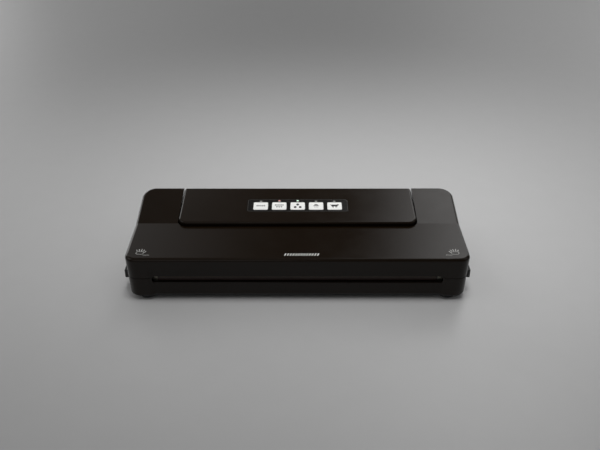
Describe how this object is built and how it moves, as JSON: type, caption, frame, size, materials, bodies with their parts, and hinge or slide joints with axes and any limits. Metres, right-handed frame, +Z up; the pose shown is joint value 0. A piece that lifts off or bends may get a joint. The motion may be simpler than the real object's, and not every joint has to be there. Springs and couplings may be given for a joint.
{
  "type": "vacuum sealer",
  "caption": "Low wide vacuum sealer with a rear-hinged U-shaped lid round a fixed sloping control tower, white keys, side release buttons and a front bag slot.",
  "frame": {"origin": "centre of the bounding box in plan, at the underside of the feet", "axes": "+X to the right seen from the front, +Y to the rear, +Z up; the front with the bag slot faces -Y"},
  "size_m": [0.3802, 0.138, 0.0649],
  "materials": {
    "gloss_black": "polished moulded ABS",
    "satin_black": "fine texture moulded ABS",
    "overlay": "printed film",
    "key_white": "printed key cap",
    "light_pipe": "frosted acrylic",
    "board_green": "solder mask",
    "part_black": "component moulding",
    "steel": "plated",
    "aluminium": "extruded",
    "copper": "enamelled wire",
    "brass": "plated",
    "silicone_grey": "moulded silicone",
    "foam_black": "closed-cell foam",
    "silicone_clear": "silicone tube",
    "phenolic": "moulded phenolic",
    "ptfe": "coated glass cloth",
    "rubber_black": "moulded rubber",
    "wire_red": "lead insulation"
  },
  "bodies": {
    "base": {"latch_spring_left": "steel", "latch_spring_right": "steel", "hinge_pin_left": "steel", "hinge_pin_right": "steel", "base_housing": "gloss_black", "bottom_cover": "satin_black", "cover_screws": "steel", "foot_front_left": "rubber_black", "foot_front_right": "rubber_black", "foot_rear_left": "rubber_black", "foot_rear_right": "rubber_black", "cable_gland": "rubber_black", "lower_gasket": "foam_black", "heater_base": "phenolic", "heater_strip": "steel", "ptfe_tape": "ptfe", "heater_terminals": "brass", "control_tower": "gloss_black", "panel_overlay": "overlay", "light_guide": "light_pipe", "control_board": "board_green", "tact_switches": "part_black", "status_leds": "key_white", "board_screws": "steel", "power_board": "board_green", "relay": "part_black", "capacitors": "part_black", "heat_sink": "aluminium", "mains_terminal": "part_black", "transformer_core": "steel", "transformer_winding": "copper", "pump_motor": "steel", "pump_head": "part_black", "pump_diaphragm": "rubber_black", "valve_block": "part_black", "vacuum_switch": "part_black", "chamber_hose": "silicone_clear", "pump_hose": "silicone_clear", "heater_leads": "wire_red", "ribbon_cable": "silicone_grey", "lid_switch": "part_black"},
    "lid": {"lid_shell": "gloss_black", "lid_liner": "satin_black", "lid_screws": "steel", "lid_hook_left": "part_black", "lid_hook_right": "part_black", "upper_gasket": "foam_black", "pressure_strip": "silicone_grey"},
    "latch_left": {"latch_slider_left": "satin_black"},
    "latch_right": {"latch_slider_right": "satin_black"},
    "key_seal": {"key_seal": "key_white"},
    "key_vacuum": {"key_vacuum": "key_white"},
    "key_dry": {"key_dry": "key_white"},
    "key_soft": {"key_soft": "key_white"},
    "key_moist": {"key_moist": "key_white"},
    "pump_rotor": {"pump_rotor": "steel"},
    "vent_plunger": {"vent_plunger": "steel"},
    "switch_lever": {"lid_switch_lever": "steel"}
  },
  "joints": [
    {"name": "lid_hinge", "type": "hinge", "parent": "base", "child": "lid", "pos_m": [0, 0.06061, 0.046], "axis": [-1, 0, 0], "range_deg": [0, 65]},
    {"name": "release_left", "type": "slide", "parent": "base", "child": "latch_left", "axis": [1, 0, 0], "range_m": [0, 0.003], "stiffness_N_per_m": 800, "springref_m": -0.002, "deforming": ["latch_spring_left"]},
    {"name": "release_right", "type": "slide", "parent": "base", "child": "latch_right", "axis": [-1, 0, 0], "range_m": [0, 0.003], "stiffness_N_per_m": 800, "springref_m": -0.002, "deforming": ["latch_spring_right"]},
    {"name": "press_seal", "type": "slide", "parent": "base", "child": "key_seal", "axis": [0, 0.0907, -0.9959], "range_m": [0, 0.0006], "stiffness_N_per_m": 1500, "springref_m": -0.0003},
    {"name": "press_vacuum", "type": "slide", "parent": "base", "child": "key_vacuum", "axis": [0, 0.0907, -0.9959], "range_m": [0, 0.0006], "stiffness_N_per_m": 1500, "springref_m": -0.0003},
    {"name": "press_dry", "type": "slide", "parent": "base", "child": "key_dry", "axis": [0, 0.0907, -0.9959], "range_m": [0, 0.0006], "stiffness_N_per_m": 1500, "springref_m": -0.0003},
    {"name": "press_soft", "type": "slide", "parent": "base", "child": "key_soft", "axis": [0, 0.0907, -0.9959], "range_m": [0, 0.0006], "stiffness_N_per_m": 1500, "springref_m": -0.0003},
    {"name": "press_moist", "type": "slide", "parent": "base", "child": "key_moist", "axis": [0, 0.0907, -0.9959], "range_m": [0, 0.0006], "stiffness_N_per_m": 1500, "springref_m": -0.0003},
    {"name": "pump_spin", "type": "hinge", "parent": "base", "child": "pump_rotor", "pos_m": [0.09, 0.034, 0.026], "axis": [1, 0, 0], "continuous": true},
    {"name": "vent_slide", "type": "slide", "parent": "base", "child": "vent_plunger", "axis": [0, 0, -1], "range_m": [0, 0.0015], "stiffness_N_per_m": 200, "springref_m": -0.001},
    {"name": "lever_swing", "type": "hinge", "parent": "base", "child": "switch_lever", "pos_m": [0.152, 0.002, 0.014], "axis": [1, 0, 0], "range_deg": [0, 8]}
  ],
  "couplings": [
    {"joint": "lever_swing", "follows": "lid_hinge", "ratio": 0.12308}
  ]
}
